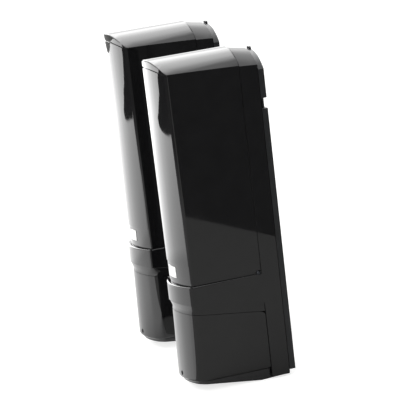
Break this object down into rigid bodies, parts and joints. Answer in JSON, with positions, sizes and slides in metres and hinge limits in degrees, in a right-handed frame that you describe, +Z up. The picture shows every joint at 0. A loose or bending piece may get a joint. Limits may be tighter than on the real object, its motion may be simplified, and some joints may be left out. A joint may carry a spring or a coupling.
{
  "type": "photoelectric beam barrier",
  "caption": "Transmitter and receiver posts of an infrared beam barrier, with lift-off covers over aimable twin lenses.",
  "frame": {"origin": "middle of the transmitter's wall face", "axes": "+Y into the wall, -Y along the beam, +Z up, receiver towards -X"},
  "size_m": [0.335, 0.1877, 0.452],
  "materials": {
    "shell_black": "high gloss moulded black plastic",
    "plate_black": "fine textured black plastic",
    "cap_black": "satin black plastic",
    "chassis_grey": "satin grey plastic",
    "yoke_grey": "satin dark grey plastic",
    "case_black": "matte black plastic",
    "sight_black": "satin black plastic",
    "board_green": "green solder mask",
    "component_black": "moulded component bodies",
    "terminal_green": "moulded terminal housing",
    "steel": "zinc plated steel",
    "lamp_plastic": "tinted lamp domes",
    "cell_wrap": "plain blue cell sleeve",
    "rubber": "black rubber",
    "label_white": "blank white label",
    "lens_clear": "clear moulded lens",
    "dial_white": "white plastic",
    "plunger_red": "red plastic"
  },
  "bodies": {
    "housings": {"tx_mount_plate": "plate_black", "tx_rear_housing": "shell_black", "tx_bottom_cap": "cap_black", "tx_chassis": "chassis_grey", "tx_main_board": "board_green", "tx_board_parts": "component_black", "tx_terminal_block": "terminal_green", "tx_terminal_screws": "steel", "tx_tamper_switch": "component_black", "tx_status_leds": "lamp_plastic", "tx_battery_holder": "chassis_grey", "tx_battery_cells": "cell_wrap", "tx_fixing_screws": "steel", "tx_cable_grommet": "rubber", "tx_latch_studs": "steel", "tx_cover_seal": "rubber", "rx_mount_plate": "plate_black", "rx_rear_housing": "shell_black", "rx_bottom_cap": "cap_black", "rx_chassis": "chassis_grey", "rx_main_board": "board_green", "rx_board_parts": "component_black", "rx_terminal_block": "terminal_green", "rx_terminal_screws": "steel", "rx_tamper_switch": "component_black", "rx_status_leds": "lamp_plastic", "rx_battery_holder": "chassis_grey", "rx_battery_cells": "cell_wrap", "rx_fixing_screws": "steel", "rx_cable_grommet": "rubber", "rx_latch_studs": "steel", "rx_cover_seal": "rubber"},
    "tx_upper_cover": {"tx_front_cover": "shell_black", "tx_label_plate": "label_white"},
    "tx_battery_cover": {"tx_lower_cover": "shell_black", "tx_cover_screw": "steel"},
    "tx_pan_head": {"tx_pan_yoke": "yoke_grey", "tx_sight_block": "sight_black"},
    "tx_upper_optic": {"tx_upper_lens_case": "case_black", "tx_upper_lens": "lens_clear"},
    "tx_lower_optic": {"tx_lower_lens_case": "case_black", "tx_lower_lens": "lens_clear"},
    "tx_tilt_wheel": {"tx_tilt_dial": "dial_white"},
    "tx_tamper_button": {"tx_tamper_plunger": "plunger_red"},
    "tx_channel_knob": {"tx_channel_dial": "dial_white"},
    "tx_power_knob": {"tx_power_dial": "dial_white"},
    "rx_upper_cover": {"rx_front_cover": "shell_black", "rx_label_plate": "label_white"},
    "rx_battery_cover": {"rx_lower_cover": "shell_black", "rx_cover_screw": "steel"},
    "rx_pan_head": {"rx_pan_yoke": "yoke_grey", "rx_sight_block": "sight_black"},
    "rx_upper_optic": {"rx_upper_lens_case": "case_black", "rx_upper_lens": "lens_clear"},
    "rx_lower_optic": {"rx_lower_lens_case": "case_black", "rx_lower_lens": "lens_clear"},
    "rx_tilt_wheel": {"rx_tilt_dial": "dial_white"},
    "rx_tamper_button": {"rx_tamper_plunger": "plunger_red"},
    "rx_channel_knob": {"rx_channel_dial": "dial_white"},
    "rx_timer_knob": {"rx_timer_dial": "dial_white"}
  },
  "joints": [
    {"name": "tx_cover_lift_off", "type": "slide", "parent": "housings", "child": "tx_upper_cover", "axis": [0, -1, 0], "range_m": [0, 0.12]},
    {"name": "tx_battery_cover_lift_off", "type": "slide", "parent": "housings", "child": "tx_battery_cover", "axis": [0, -1, 0], "range_m": [0, 0.12]},
    {"name": "tx_pan", "type": "hinge", "parent": "housings", "child": "tx_pan_head", "pos_m": [0, -0.082, 0.084], "axis": [0, 0, 1], "range_deg": [-90, 90]},
    {"name": "tx_upper_tilt", "type": "hinge", "parent": "tx_pan_head", "child": "tx_upper_optic", "pos_m": [0, -0.082, 0.128], "axis": [1, 0, 0], "range_deg": [-10, 10]},
    {"name": "tx_lower_tilt", "type": "hinge", "parent": "tx_pan_head", "child": "tx_lower_optic", "pos_m": [0, -0.082, 0.04], "axis": [1, 0, 0], "range_deg": [-10, 10]},
    {"name": "tx_tilt_wheel_turn", "type": "hinge", "parent": "tx_pan_head", "child": "tx_tilt_wheel", "pos_m": [0, -0.082, 0.084], "axis": [0, 1, 0], "range_deg": [-360, 360]},
    {"name": "tx_tamper_press", "type": "slide", "parent": "housings", "child": "tx_tamper_button", "axis": [0, 1, 0], "range_m": [0, 0.0025], "stiffness_N_per_m": 200, "springref_m": -0.001},
    {"name": "tx_channel_turn", "type": "hinge", "parent": "housings", "child": "tx_channel_knob", "pos_m": [-0.02, -0.082, -0.02405], "axis": [0, 1, 0], "range_deg": [0, 270]},
    {"name": "tx_power_turn", "type": "hinge", "parent": "housings", "child": "tx_power_knob", "pos_m": [0.02, -0.082, -0.02405], "axis": [0, 1, 0], "range_deg": [0, 270]},
    {"name": "rx_cover_lift_off", "type": "slide", "parent": "housings", "child": "rx_upper_cover", "axis": [0, -1, 0], "range_m": [0, 0.12]},
    {"name": "rx_battery_cover_lift_off", "type": "slide", "parent": "housings", "child": "rx_battery_cover", "axis": [0, -1, 0], "range_m": [0, 0.12]},
    {"name": "rx_pan", "type": "hinge", "parent": "housings", "child": "rx_pan_head", "pos_m": [-0.252, -0.044, 0.084], "axis": [0, 0, 1], "range_deg": [-90, 90]},
    {"name": "rx_upper_tilt", "type": "hinge", "parent": "rx_pan_head", "child": "rx_upper_optic", "pos_m": [-0.252, -0.044, 0.128], "axis": [1, 0, 0], "range_deg": [-10, 10]},
    {"name": "rx_lower_tilt", "type": "hinge", "parent": "rx_pan_head", "child": "rx_lower_optic", "pos_m": [-0.252, -0.044, 0.04], "axis": [1, 0, 0], "range_deg": [-10, 10]},
    {"name": "rx_tilt_wheel_turn", "type": "hinge", "parent": "rx_pan_head", "child": "rx_tilt_wheel", "pos_m": [-0.252, -0.044, 0.084], "axis": [0, 1, 0], "range_deg": [-360, 360]},
    {"name": "rx_tamper_press", "type": "slide", "parent": "housings", "child": "rx_tamper_button", "axis": [0, 1, 0], "range_m": [0, 0.0025], "stiffness_N_per_m": 200, "springref_m": -0.001},
    {"name": "rx_channel_turn", "type": "hinge", "parent": "housings", "child": "rx_channel_knob", "pos_m": [-0.272, -0.044, -0.02405], "axis": [0, 1, 0], "range_deg": [0, 270]},
    {"name": "rx_timer_turn", "type": "hinge", "parent": "housings", "child": "rx_timer_knob", "pos_m": [-0.232, -0.044, -0.02405], "axis": [0, 1, 0], "range_deg": [0, 270]}
  ],
  "couplings": [
    {"joint": "tx_lower_tilt", "follows": "tx_upper_tilt", "ratio": 1},
    {"joint": "tx_tilt_wheel_turn", "follows": "tx_upper_tilt", "ratio": 36},
    {"joint": "rx_lower_tilt", "follows": "rx_upper_tilt", "ratio": 1},
    {"joint": "rx_tilt_wheel_turn", "follows": "rx_upper_tilt", "ratio": 36}
  ]
}
